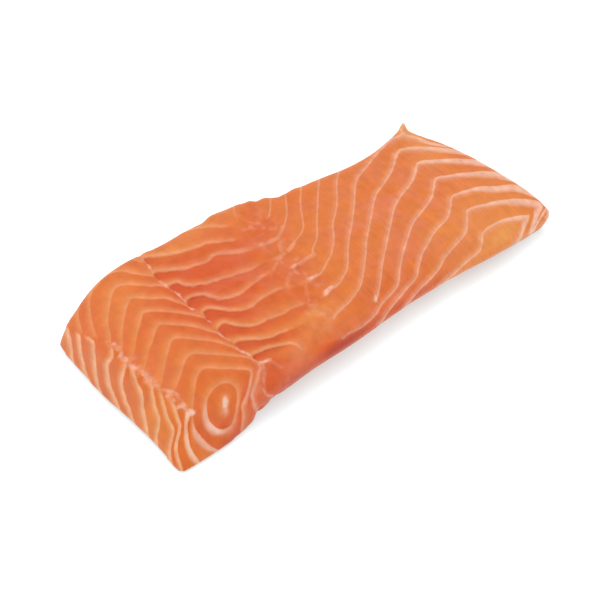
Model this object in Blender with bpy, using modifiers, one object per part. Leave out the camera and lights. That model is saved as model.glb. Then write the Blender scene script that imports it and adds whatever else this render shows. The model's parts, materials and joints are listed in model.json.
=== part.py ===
"""A raw, skinless salmon portion: one thick strip cut across a fillet.

The thick end stands at -X and the thin belly end at +X. The back long side is at +Y, and the front
long side, at -Y, is undercut. The portion lies on its flat underside, with the origin at the centre
of its box, on the surface it rests on. Metres, +Z up.
"""

import math

import bmesh
import bpy
from mathutils import Vector

# Driving dimensions
HALF_LENGTH = 0.0733
HALF_WIDTH = 0.0312

# How the cage is divided along the length, across the width and up the height. Across, each long
# edge has a narrow cell and each flake of the belly side has one cell
CELLS_ALONG = 16
CROWDING = 0.40
EDGE_SHARE = 0.0625
FLAKES_ACROSS = 7
FLAKE_SHARE = (1.0 - 2.0 * EDGE_SHARE) / FLAKES_ACROSS
LEVELS_UP = (0.0, 0.13, 0.76, 1.0)
SMOOTHING_LEVELS = 2
SAME_WAY = 0.999

# Height of the crown of the top face, by distance along X
CROWN_HEIGHT = (
    (-0.0733, 0.0186),
    (-0.0500, 0.0198),
    (-0.0300, 0.0197),
    (-0.0100, 0.0186),
    (0.0150, 0.0168),
    (0.0400, 0.0150),
    (0.0600, 0.0132),
    (0.0733, 0.0110),
)
CORNER_DROP = 0.0110
CORNER_DROP_LENGTH = 0.0125
CORNER_DROP_FROM_Y = 0.000
FRONT_FALL = 0.0020
SHOULDER_SHARE = 0.24
SHOULDER_DROP_THICK = 0.40
SHOULDER_DROP_THIN = 0.30

# Back edge of the top face and of the underside
BACK_EDGE_TOP = (
    (-0.0733, 0.0280),
    (-0.0600, 0.0304),
    (-0.0500, 0.0300),
    (-0.0400, 0.0291),
    (-0.0250, 0.0296),
    (-0.0150, 0.0304),
    (-0.0060, 0.0306),
    (-0.0010, 0.0256),
    (0.0060, 0.0242),
    (0.0130, 0.0256),
    (0.0220, 0.0247),
    (0.0300, 0.0232),
    (0.0400, 0.0235),
    (0.0500, 0.0257),
    (0.0620, 0.0290),
)
BACK_LEAN = 0.0026

# Front edge of the top face and of the underside: it slopes out under the thick end and is
# undercut along the rest
FRONT_EDGE_TOP = (
    (-0.0733, -0.0250),
    (-0.0600, -0.0275),
    (-0.0450, -0.0310),
    (-0.0310, -0.0311),
    (-0.0220, -0.0312),
    (-0.0130, -0.0318),
    (-0.0010, -0.0303),
    (0.0090, -0.0295),
    (0.0200, -0.0289),
    (0.0330, -0.0292),
    (0.0500, -0.0297),
    (0.0733, -0.0270),
)
FRONT_EDGE_BOTTOM = (
    (-0.0733, -0.0329),
    (-0.0600, -0.0325),
    (-0.0480, -0.0296),
    (-0.0350, -0.0254),
    (-0.0200, -0.0232),
    (0.0300, -0.0216),
    (0.0550, -0.0244),
    (0.0733, -0.0252),
)
UNDERCUT_BEND = 1.5

# End faces: the thick end leans a little, the thin end is cut on the slant
THICK_END_TOP = ((-0.0312, -0.0665), (-0.0150, -0.0712), (0.0100, -0.0722), (0.0312, -0.0712))
THICK_END_BOTTOM = (
    (-0.0312, -0.0764),
    (-0.0230, -0.0750),
    (-0.0150, -0.0742),
    (0.0000, -0.0750),
    (0.0120, -0.0750),
    (0.0312, -0.0736),
)
THIN_END_TOP = (
    (-0.0290, 0.0745),
    (-0.0180, 0.0735),
    (-0.0120, 0.0721),
    (-0.0040, 0.0711),
    (0.0120, 0.0684),
    (0.0220, 0.0645),
    (0.0300, 0.0605),
)
THIN_END_TUCK = 0.0020

# The groove of the seam between the two muscles, across the top face
SEAM = ((-0.0445, 0.0240), (-0.0440, 0.0065), (-0.0442, -0.0100), (-0.0412, -0.0245))
SEAM_DEPTH = 0.0007
SEAM_HALF_WIDTH = 0.0018

# Overlapping flakes on the belly side of the seam: their edges sweep forward from it, then level out
SWEEP_START = -0.0440
SWEEP = 0.0092
SWEEP_LENGTH = 0.0080
SWEEP_FADES = (0.0000, 0.0600)
FLAKE_EDGE = 0.50
FLAKE_DROP_SHARE = 0.30
FLAKE_HEIGHT = 0.0012
FLAKE_REACH = 0.0330

# The torn trough where the flakes of the two sides meet, with a lump for each flake
SCAR_CENTRE = (-0.0100, -0.0060)
SCAR_HALF_SIZE = (0.0060, 0.0130)
SCAR_DEPTH = 0.0008
SCAR_LUMP = 0.0008

# How far a place must face up to take the top face's own forms, from none to all of them
FACING_UP = (0.30, 0.80)

# Where the top face is divided finer across the flakes
FINE_ALONG = (-0.0480, -0.0020)
FINE_FACING = 0.70

# The middle of the portion's box, which becomes the origin, and how flat its underside is
BOX_CENTRE = (-0.00058, 0.00027)
FLATNESS = 1e-5

# A small torn tip at the back corner of the thin end
TIP_PLACE = (0.0600, 0.0285)
TIP_RISE = 0.0020
TIP_SPREAD = 0.0030

FLESH_COLOUR = (0.80, 0.26, 0.09, 1.0)
FLESH_ROUGHNESS = 0.42


def smoothstep(low, high, value):
    """0 below low, 1 above high, and a smooth rise between."""
    share = min(1.0, max(0.0, (value - low) / (high - low)))
    return share * share * (3.0 - 2.0 * share)


def along(stations, place):
    """The value at a place among (place, value) stations, by a smooth curve through them."""
    if place <= stations[0][0]:
        return stations[0][1]
    if place >= stations[-1][0]:
        return stations[-1][1]
    last = len(stations) - 1
    index = next(i for i in range(last) if place <= stations[i + 1][0])
    before = stations[max(index - 1, 0)]
    start, end = stations[index], stations[index + 1]
    after = stations[min(index + 2, last)]
    span = end[0] - start[0]
    share = (place - start[0]) / span
    slope_in = (end[1] - before[1]) / (end[0] - before[0]) * span
    slope_out = (after[1] - start[1]) / (after[0] - start[0]) * span
    square = share * share
    cube = square * share
    return (
        (2 * cube - 3 * square + 1) * start[1]
        + (cube - 2 * square + share) * slope_in
        + (3 * square - 2 * cube) * end[1]
        + (cube - square) * slope_out
    )


def crowded(share):
    """Moves evenly spaced shares towards both ends, so that edges there stay firm."""
    return share - CROWDING * math.sin(2 * math.pi * share) / (2 * math.pi)


def share_across(step):
    """The share of the width at a division: an edge cell, the flakes' cells and an edge cell."""
    if step == 0:
        return 0.0
    return min(1.0, EDGE_SHARE + FLAKE_SHARE * (step - 1))


def sweep(x, share):
    """How far forward the divisions of the top face are swept at x, most at half width."""
    beyond = max(0.0, x - SWEEP_START)
    amount = SWEEP * (1.0 - math.exp(-beyond / SWEEP_LENGTH)) * math.sin(math.pi * share)
    return amount * (1.0 - smoothstep(*SWEEP_FADES, x))


def share_of_width(x, y):
    """Where a place on the top face lies between its front edge, 0, and its back edge, 1."""
    front = along(FRONT_EDGE_TOP, x)
    return min(1.0, max(0.0, (y - front) / (along(BACK_EDGE_TOP, x) - front)))


def top_height(x, y, across):
    """Height of the top face, which drops at the back corner of the thick end and at the front."""
    height = along(CROWN_HEIGHT, x)
    near_end = math.exp(-(((x + HALF_LENGTH) / CORNER_DROP_LENGTH) ** 2))
    height -= CORNER_DROP * near_end * smoothstep(CORNER_DROP_FROM_Y, HALF_WIDTH, y)
    height -= FRONT_FALL * smoothstep(0.0, HALF_WIDTH, -y)
    if across < SHOULDER_SHARE:
        thin = smoothstep(-HALF_LENGTH, HALF_LENGTH, x)
        drop = SHOULDER_DROP_THICK + (SHOULDER_DROP_THIN - SHOULDER_DROP_THICK) * thin
        height *= 1.0 - drop * (1.0 - across / SHOULDER_SHARE) ** 2
    return height


def place_in_portion(u, v, w):
    """The point of the portion for shares along the length, across the width and up the height."""
    rough_y = (2.0 * v - 1.0) * HALF_WIDTH
    thick_end = along(THICK_END_BOTTOM, rough_y) * (1.0 - w) + along(THICK_END_TOP, rough_y) * w
    thin_end = along(THIN_END_TOP, rough_y) - THIN_END_TUCK * (1.0 - w)
    x = thick_end + (thin_end - thick_end) * u
    back = along(BACK_EDGE_TOP, x) + BACK_LEAN * (1.0 - w)
    front = along(FRONT_EDGE_TOP, x)
    front += (along(FRONT_EDGE_BOTTOM, x) - front) * (1.0 - w) ** UNDERCUT_BEND
    y = front + (back - front) * v
    return Vector((x, y, w * top_height(x, y, v)))


def distance_to_line(line, x, y):
    """Distance to a broken line, and how far beyond it towards +X the point lies."""
    nearest, beyond = 1.0, 0.0
    here = Vector((x, y))
    for start, end in zip(line[:-1], line[1:]):
        first, second = Vector(start), Vector(end)
        run = second - first
        share = min(1.0, max(0.0, (here - first).dot(run) / run.length_squared))
        offset = here - (first + run * share)
        if offset.length < nearest:
            nearest, beyond = offset.length, offset.x
    return nearest, beyond


def relief(x, y, division):
    """Rise of the top face's own forms: the seam's groove, the flakes, the torn trough and the tip.

    The flakes follow the division of the width, given as a share, that is swept through the place.
    """
    distance, beyond = distance_to_line(SEAM, x, y)
    rise = -SEAM_DEPTH * math.exp(-((distance / SEAM_HALF_WIDTH) ** 2))
    flake = (division - EDGE_SHARE) / FLAKE_SHARE - FLAKE_EDGE
    if 0.0 < beyond and distance < FLAKE_REACH and 0.0 < flake + FLAKE_EDGE < FLAKES_ACROSS:
        below_edge = -flake % 1.0
        if below_edge < FLAKE_DROP_SHARE:
            profile = 0.5 - smoothstep(0.0, FLAKE_DROP_SHARE, below_edge)
        else:
            profile = (below_edge - FLAKE_DROP_SHARE) / (1.0 - FLAKE_DROP_SHARE) - 0.5
        fade = (1.0 - distance / FLAKE_REACH) * smoothstep(0.0, SEAM_HALF_WIDTH, distance)
        rise += FLAKE_HEIGHT * profile * fade
    scar_x = (x - SCAR_CENTRE[0]) / SCAR_HALF_SIZE[0]
    scar_y = (y - SCAR_CENTRE[1]) / SCAR_HALF_SIZE[1]
    scar = math.exp(-(scar_x**2) - scar_y**2)
    rise += scar * (SCAR_LUMP * math.cos(2 * math.pi * flake) - SCAR_DEPTH)
    tip_distance = math.dist((x, y), TIP_PLACE)
    return rise + TIP_RISE * math.exp(-((tip_distance / TIP_SPREAD) ** 2))


def flesh_material():
    """Moist raw flesh."""
    material = bpy.data.materials.new("salmon_flesh")
    material.use_nodes = True
    shader = material.node_tree.nodes["Principled BSDF"]
    shader.inputs["Base Color"].default_value = FLESH_COLOUR
    shader.inputs["Roughness"].default_value = FLESH_ROUGHNESS
    shader.inputs["Metallic"].default_value = 0.0
    return material


def make_cage(collection):
    """A divided cube whose points are moved on to the portion, smoothed by Subdivision Surface."""
    cage = bmesh.new()
    bmesh.ops.create_cube(cage, size=1.0)
    cells_across = FLAKES_ACROSS + 2
    for axis, cells in ((0, CELLS_ALONG), (1, cells_across), (2, len(LEVELS_UP) - 1)):
        edges = []
        for edge in cage.edges:
            run = edge.verts[1].co - edge.verts[0].co
            if abs(run[axis]) > SAME_WAY * run.length:
                edges.append(edge)
        bmesh.ops.subdivide_edges(cage, edges=edges, cuts=cells - 1, use_grid_fill=True)
    for vert in cage.verts:
        u = crowded(vert.co.x + 0.5)
        v = share_across(round((vert.co.y + 0.5) * cells_across))
        level = round((vert.co.z + 0.5) * (len(LEVELS_UP) - 1))
        vert.co = place_in_portion(u, v, LEVELS_UP[level])
    mesh = bpy.data.meshes.new("cage")
    cage.to_mesh(mesh)
    cage.free()
    portion = bpy.data.objects.new("cage", mesh)
    collection.objects.link(portion)
    smoothing = portion.modifiers.new("smoothing", "SUBSURF")
    smoothing.levels = SMOOTHING_LEVELS
    smoothing.render_levels = SMOOTHING_LEVELS
    return portion


def edges_across_flakes(flesh):
    """The edges of the top face's flaky stretch that lead across the width."""
    edges = set()
    for face in flesh.faces:
        inside = FINE_ALONG[0] < face.calc_center_median().x < FINE_ALONG[1]
        if not inside or face.normal.z < FINE_FACING:
            continue
        for edge in face.edges:
            run = edge.verts[1].co - edge.verts[0].co
            if abs(run.y) > abs(run.x):
                edges.add(edge)
    return list(edges)


def make_portion(collection):
    """The finished solid: the smoothed cage with its relief, and its underside one flat face."""
    cage = make_cage(collection)
    bpy.context.view_layer.update()
    evaluated = cage.evaluated_get(bpy.context.evaluated_depsgraph_get())
    mesh = bpy.data.meshes.new_from_object(evaluated)
    bpy.data.objects.remove(cage)
    flesh = bmesh.new()
    flesh.from_mesh(mesh)
    flesh.normal_update()
    bmesh.ops.subdivide_edges(flesh, edges=edges_across_flakes(flesh), cuts=1, use_grid_fill=True)
    flesh.normal_update()
    for vert in flesh.verts:
        facing_up = smoothstep(*FACING_UP, vert.normal.z)
        x, y, _ = vert.co
        division = share_of_width(x, y)
        swept = y - facing_up * sweep(x, division)
        lift = top_height(x, swept, share_of_width(x, swept)) - top_height(x, y, division)
        vert.co.y = swept
        vert.co.z += facing_up * (lift + relief(x, swept, division))
    for vert in flesh.verts:
        vert.co.x -= BOX_CENTRE[0]
        vert.co.y -= BOX_CENTRE[1]
    underside = [f for f in flesh.faces if all(abs(v.co.z) < FLATNESS for v in f.verts)]
    bmesh.ops.dissolve_faces(flesh, faces=underside)
    flesh.to_mesh(mesh)
    flesh.free()
    mesh.name = "salmon_portion"
    mesh.materials.append(flesh_material())
    mesh.shade_smooth()
    portion = bpy.data.objects.new("salmon_portion", mesh)
    collection.objects.link(portion)
    return portion


def main():
    """Clears the scene and builds the portion in its own collection."""
    for old in list(bpy.data.objects):
        bpy.data.objects.remove(old)
    collection = bpy.data.collections.new("salmon_portion")
    bpy.context.scene.collection.children.link(collection)
    make_portion(collection)


main()
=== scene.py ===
"""The looks of a raw skinless salmon portion: its flesh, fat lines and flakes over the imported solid."""

from __future__ import annotations

import functools
import logging
import math
from dataclasses import asdict, dataclass, fields
from enum import Enum

import bmesh
import bpy
import numpy as np
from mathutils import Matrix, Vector
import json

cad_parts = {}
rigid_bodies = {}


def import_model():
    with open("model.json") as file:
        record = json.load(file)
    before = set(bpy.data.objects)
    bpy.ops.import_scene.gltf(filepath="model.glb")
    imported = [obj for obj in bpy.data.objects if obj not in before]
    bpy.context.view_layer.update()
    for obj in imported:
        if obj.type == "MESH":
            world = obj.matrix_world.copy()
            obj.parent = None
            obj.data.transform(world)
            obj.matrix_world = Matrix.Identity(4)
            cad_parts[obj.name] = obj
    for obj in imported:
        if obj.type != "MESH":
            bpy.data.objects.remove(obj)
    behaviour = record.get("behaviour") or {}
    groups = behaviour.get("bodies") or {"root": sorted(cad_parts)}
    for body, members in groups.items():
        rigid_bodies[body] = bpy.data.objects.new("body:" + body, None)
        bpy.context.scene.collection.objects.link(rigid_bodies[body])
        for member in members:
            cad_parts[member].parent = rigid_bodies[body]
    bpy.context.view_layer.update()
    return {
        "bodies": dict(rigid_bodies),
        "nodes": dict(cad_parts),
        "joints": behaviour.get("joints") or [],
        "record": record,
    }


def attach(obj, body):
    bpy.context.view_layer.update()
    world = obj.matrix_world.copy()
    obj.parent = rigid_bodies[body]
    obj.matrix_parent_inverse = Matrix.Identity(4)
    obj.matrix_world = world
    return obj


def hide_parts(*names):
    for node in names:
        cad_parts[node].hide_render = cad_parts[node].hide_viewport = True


LOG = logging.getLogger("salmon_portion")

Span = tuple[float, float]
Points = tuple[Span, ...]
Colour = tuple[float, float, float, float]
Socket = bpy.types.NodeSocket
Value = Socket | float | tuple


class Muscle(Enum):
    """The stretches of flesh, each with its own run of fat lines."""

    END_CUT = "end cut"
    LOIN = "loin"
    BELLY = "belly"
    FLAKES = "flakes"


def smoothstep(low: float, high: float, value: np.ndarray) -> np.ndarray:
    """Eases from 0 at low to 1 at high.

    Args:
        low: Value that gives 0.
        high: Value that gives 1.
        value: Values to ease.

    Returns:
        The eased values.
    """
    share = np.clip((value - low) / (high - low), 0.0, 1.0)
    return share * share * (3.0 - 2.0 * share)


def bell(distance: np.ndarray, reach: float) -> np.ndarray:
    """Falls off softly on both sides, from 1 at no distance."""
    return np.exp(-((distance / reach) ** 2))


def at_least(least: float, share: np.ndarray) -> np.ndarray:
    """Squeezes a share from 0 to 1 into the span from a least share to 1."""
    return least + (1 - least) * share


def smooth_run(points: Points, steps: int) -> np.ndarray:
    """Draws a smooth curve through points.

    Args:
        points: The points to pass through, in order.
        steps: How many straight pieces each span gets.

    Returns:
        The curve's points, one row each.
    """
    run = np.array(points, float)
    padded = np.vstack([2 * run[0] - run[1], run, 2 * run[-1] - run[-2]])
    shares = np.arange(steps) / steps
    pieces = []
    for before, start, end, after in zip(padded[:-3], padded[1:-2], padded[2:-1], padded[3:]):
        t = shares[:, None]
        pieces.append(
            0.5
            * (
                2 * start
                + (end - before) * t
                + (2 * before - 5 * start + 4 * end - after) * t**2
                + (3 * start - before - 3 * end + after) * t**3
            )
        )
    return np.vstack([*pieces, run[-1:]])


@dataclass(frozen=True)
class ViewingPlane:
    """The eye's place over the portion, and the picture plane that the fat lines are laid out on."""

    elevation: float = math.radians(45.0)
    swing: float = math.radians(40.0)
    distance: float = 0.500
    lens: float = 100.0
    film: float = 36.0
    picture: float = 600.0
    aim: tuple[float, float, float] = (-0.00622, -0.00087, 0.0)

    def forward(self) -> Vector:
        """The direction in which the eye looks.

        Returns:
            A direction of length 1.
        """
        flat = math.cos(self.elevation)
        return Vector(
            (math.sin(self.swing) * flat, math.cos(self.swing) * flat, -math.sin(self.elevation))
        )

    def right(self) -> Vector:
        """The direction that is to the right in the picture."""
        return Vector((math.cos(self.swing), -math.sin(self.swing), 0.0))

    def eye(self) -> Vector:
        """Where the eye stands."""
        return Vector(self.aim) - self.forward() * self.distance

    def project(self, places: np.ndarray) -> np.ndarray:
        """Finds where places lie in the picture.

        Args:
            places: Places in metres, one row each.

        Returns:
            Picture coordinates, to the right and down, one row each.
        """
        forward, right = self.forward(), self.right()
        upward = np.array(right.cross(forward))
        offset = places - np.array(self.eye())
        depth = offset @ np.array(forward)
        scale = self.picture * self.lens / self.film
        half = self.picture / 2
        across = half + scale * (offset @ np.array(right)) / depth
        down = half - scale * (offset @ upward) / depth
        return np.stack([across, down], axis=-1)

    def place_at(self, spot: tuple[float, float], height: float) -> np.ndarray:
        """Finds the place that shows at a spot of the picture, on a level plane.

        Args:
            spot: Picture coordinates.
            height: The plane's height, in metres.

        Returns:
            The place, in metres.
        """
        forward, right = self.forward(), self.right()
        scale = self.picture * self.lens / self.film
        half = self.picture / 2
        ray = forward + right * ((spot[0] - half) / scale)
        ray += right.cross(forward) * ((half - spot[1]) / scale)
        eye = self.eye()
        return np.array(eye + ray * ((height - eye.z) / ray.z))

    def add_camera(self) -> bpy.types.Object:
        """Adds the camera.

        Returns:
            The camera object.
        """
        data = bpy.data.cameras.new("camera")
        data.lens = self.lens
        data.sensor_width = self.film
        camera = bpy.data.objects.new("camera", data)
        camera.rotation_mode = "QUATERNION"
        camera.location = self.eye()
        camera.rotation_quaternion = self.forward().to_track_quat("-Z", "Y")
        bpy.context.scene.collection.objects.link(camera)
        bpy.context.scene.camera = camera
        return camera


@dataclass(frozen=True)
class FatLine:
    """One fat line on the picture plane, with how far it fades in at each end."""

    points: Points
    fade_start: float = 0.0
    fade_end: float = 0.0


@dataclass(frozen=True)
class LineStyle:
    """How one muscle's lines look: their breadth in picture units, strength, haze and raggedness,
    how much the flesh between them changes, with a redder pocket, partly painted shade, under each line and
    a paler lip, painted light, before the next, and on which side they fade (1 below, -1 above)."""

    width: float
    strength: float
    haze: float = 0.15
    ragged: float = 1.0
    tone: float = 0.3
    lean: float = 1.0
    behind: float = 0.0


@dataclass(frozen=True)
class LineReading:
    """What the lines give at each place: share of the gap from the nearest line, gap, presence."""

    phase: np.ndarray
    gap: np.ndarray
    presence: np.ndarray


def measure(points: Points, spots: np.ndarray, steps: int = 5) -> tuple[np.ndarray, ...]:
    """Measures spots of the picture against one line.

    Args:
        points: The line's points.
        spots: Picture coordinates, one row each.
        steps: Pieces per span of the line.

    Returns:
        Distance, side (+1 or -1) and distances along to both ends, each per spot.
    """
    run = smooth_run(points, steps)
    starts, spans = run[:-1], np.diff(run, axis=0)
    lengths = np.linalg.norm(spans, axis=1)
    travelled = np.concatenate([[0.0], np.cumsum(lengths)])
    best = np.full(len(spots), np.inf)
    side = np.ones(len(spots))
    along = np.zeros(len(spots))
    for index, (start, span, length) in enumerate(zip(starts, spans, lengths)):
        offset = spots - start
        share = np.clip(offset @ span / length**2, 0.0, 1.0)
        gap = offset - share[:, None] * span
        distance = np.hypot(gap[:, 0], gap[:, 1])
        closer = distance < best
        best[closer] = distance[closer]
        turn = span[0] * offset[:, 1] - span[1] * offset[:, 0]
        side[closer] = np.where(turn[closer] < 0.0, -1.0, 1.0)
        along[closer] = travelled[index] + share[closer] * length
    return best, side, along, travelled[-1] - along


def side_of(border: Points, spots: np.ndarray) -> np.ndarray:
    """Measures spots against a border.

    Args:
        border: The border's points in the picture, in order.
        spots: Picture coordinates, one row each.

    Returns:
        Distance from the border, below 0 on its left as it runs.
    """
    distance, side, _, _ = measure(border, spots)
    return distance * side


@dataclass(frozen=True)
class LineRun:
    """A run of fat lines, from first to last, that divides one muscle into flakes."""

    muscle: Muscle
    style: LineStyle
    lines: tuple[FatLine, ...]
    usual_gap: float = 14.0
    has_centre: bool = False

    def _ways(self) -> list[float]:
        """Tells on which side of each line, as it runs, the next line lies.

        Returns:
            1 or -1 for each line.
        """
        ways = []
        for index, line in enumerate(self.lines):
            last = index == len(self.lines) - 1
            other = self.lines[index - 1 if last else index + 1]
            middle = np.array([other.points[len(other.points) // 2]])
            side = measure(line.points, middle)[1][0]
            ways.append(-side if last else side)
        return ways

    def read(self, spots: np.ndarray) -> LineReading:
        """Reads the run of lines at spots of the picture.

        Args:
            spots: Picture coordinates, one row each.

        Returns:
            The reading for each spot.
        """
        measured = [measure(line.points, spots) for line in self.lines]
        distance = np.array([m[0] for m in measured])
        side = np.array([m[1] * way for m, way in zip(measured, self._ways())])
        if self.has_centre:
            side[0] = 1.0
        rows = np.arange(len(spots))
        nearest = distance.argmin(axis=0)
        here = distance[nearest, rows]
        way = side[nearest, rows]
        other = nearest + way.astype(int)
        known = (other >= 0) & (other < len(self.lines))
        there = np.where(known, distance[np.clip(other, 0, len(self.lines) - 1), rows], 0.0)
        gap = np.where(known, here + there, np.maximum(self.usual_gap, 2.0 * here))
        presence = np.ones(len(spots))
        for index, line in enumerate(self.lines):
            mine = nearest == index
            _, _, from_start, to_end = measured[index]
            if line.fade_start > 0.0:
                presence[mine] *= smoothstep(0.0, line.fade_start, from_start[mine])
            if line.fade_end > 0.0:
                presence[mine] *= smoothstep(0.0, line.fade_end, to_end[mine])
        return LineReading(way * here / gap, gap, presence)


# The ridge where the thick end's cut face meets the top, from the back corner to the front corner
RIDGE: Points = (
    (52, 324), (60, 325), (70, 327), (80, 333), (98, 339), (112, 346),
    (120, 356), (132, 367), (145, 378), (155, 386), (165, 394),
    (178, 405), (189.5, 413), (190.3, 420), (190.3, 430), (191.5, 440),
    (194.5, 449), (203, 463), (211, 478),
)

# The seam between the loin and the belly, from the back edge to the front edge
SEAM: Points = (
    (130, 246), (146, 262), (150, 268), (160, 281), (169, 287),
    (184, 298.6), (192, 308.8), (202, 312.7), (211, 323), (221, 334),
    (233, 342), (239, 349.6), (249.5, 354.7), (261, 362.4), (264.5, 372),
    (263, 386), (266, 393), (272, 400), (280, 412),
)

END_CUT_LINES = LineRun(
    Muscle.END_CUT,
    LineStyle(width=4.8, strength=0.57, haze=0.58, ragged=2.8, tone=0.4, lean=-1),
    (
        FatLine(((189.5, 408), (188.6, 416), (187.6, 424), (187.6, 431), (188.5, 439), (191, 448),
            (195.3, 456), (200.5, 463), (208, 475))),
        FatLine(((172, 396), (174.5, 404), (180, 422.7), (180.6, 429), (177, 448), (181, 464),
            (184, 480))),
        FatLine(((161, 390), (163.8, 401), (167.9, 417), (174.5, 430.7), (170.5, 448), (172, 466))),
        FatLine(((151, 378), (153, 390.5), (155.8, 406.6), (159.8, 421.3), (157, 438.7), (160, 456))),
        FatLine(((133, 370), (137, 382), (142.4, 393), (143.7, 410.6), (146.4, 424), (150, 444))),
        FatLine(((129, 357), (125, 369), (122.3, 384), (127.7, 404), (131.7, 414.6), (138, 434))),
        FatLine(((113, 345), (113, 357), (108, 366), (109.7, 382), (113.8, 394), (118, 404), (126, 424))),
        FatLine(((79, 300), (85.7, 330.5), (94, 343), (94.8, 357), (98, 382), (104, 400), (110, 416))),
        FatLine(((76, 302), (78, 315), (80, 338), (82.5, 357), (87, 374), (92, 390))),
        FatLine(((66, 322), (68.5, 331), (73, 357), (76, 372))),
    ),
    usual_gap=12,
)

LOIN_LINES = LineRun(
    Muscle.LOIN,
    LineStyle(width=3.6, strength=0.19, haze=0.50, ragged=1.6, tone=0.48, lean=-1),
    (
        FatLine(((225, 412), (224, 405), (225.5, 398))),
        FatLine(((222.8, 430), (215, 427.4), (208, 418.5), (206.6, 404), (208.6, 395.9), (214.7, 387.9),
            (225.4, 382.5), (234.8, 386.5), (237.5, 397), (234.8, 414.6), (230.8, 426), (222.8, 430))),
        FatLine(((232, 456), (222, 452), (212, 447), (204, 440), (194.6, 428), (193, 413), (194.6, 390.5),
            (197.3, 377), (204, 368.4), (220, 368.6), (237.5, 369), (250, 371), (249.6, 383), (245.5, 397),
            (241.4, 406), (242.4, 415.5), (241.4, 426.7), (240, 440))),
        FatLine(((170, 400), (179.9, 377), (183.9, 363.7), (190.6, 354.4), (204, 353.7), (230.8, 355.7),
            (249.5, 358.4), (258.8, 365.5), (257.8, 374), (254.7, 385), (251.6, 395), (253.7, 405),
            (256.7, 411.4), (262, 424))),
        FatLine(((160, 392), (165, 364), (169.2, 347.7), (174.6, 338.3), (197.3, 339.6), (217.4, 342.3),
            (236.2, 349), (256, 357), (264.9, 366.5), (263.9, 375), (262.9, 386), (264.9, 393), (271, 398),
            (280, 406))),
        FatLine(((144, 372), (147.8, 353), (153, 339.6), (157, 327.6), (163.8, 324.2), (190.6, 326.2),
            (206.7, 330.3), (226, 336), (240, 342))),
        FatLine(((130, 366), (134.4, 349), (137, 334.3), (141, 320.9), (143.7, 312.2), (160, 311.4),
            (178.6, 312.9), (194.6, 315.5), (208, 319), (222, 324))),
        FatLine(((122, 360), (122.3, 345), (122.3, 330), (125, 314), (129, 300.8), (133, 298),
            (149, 298.8), (165.2, 298.8), (175.9, 302), (190, 307))),
        FatLine(((111, 350), (110.3, 334.3), (107.6, 321), (110, 303.5), (113, 291.4), (119.6, 285.4),
            (135, 285), (149, 286), (162.5, 286), (176, 291))),
        FatLine(((98, 342), (97.3, 339), (91.5, 320), (89.8, 298), (98, 284), (108, 274), (122.3, 271.3),
            (135.7, 274), (154.5, 276.7))),
        FatLine(((82, 332), (78, 312), (84, 290), (100, 270), (122, 258), (140, 262))),
    ),
    usual_gap=13,
    has_centre=True,
)

# The torn trough across the belly, where the flakes by the seam end short of the long lines
TROUGH: Points = (
    (222, 180), (230, 204), (242, 229), (259, 243), (270, 253), (284, 269),
    (298, 282), (312, 291), (317, 305), (318, 320), (312, 334),
    (305, 346), (303, 356), (312, 374),
)

# Where the belly's lines turn their corner; past it, to the lower left, they run down
CORNERS: Points = ((350, 112), (386, 143), (416, 165), (450, 196), (482, 232), (505, 262))

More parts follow.
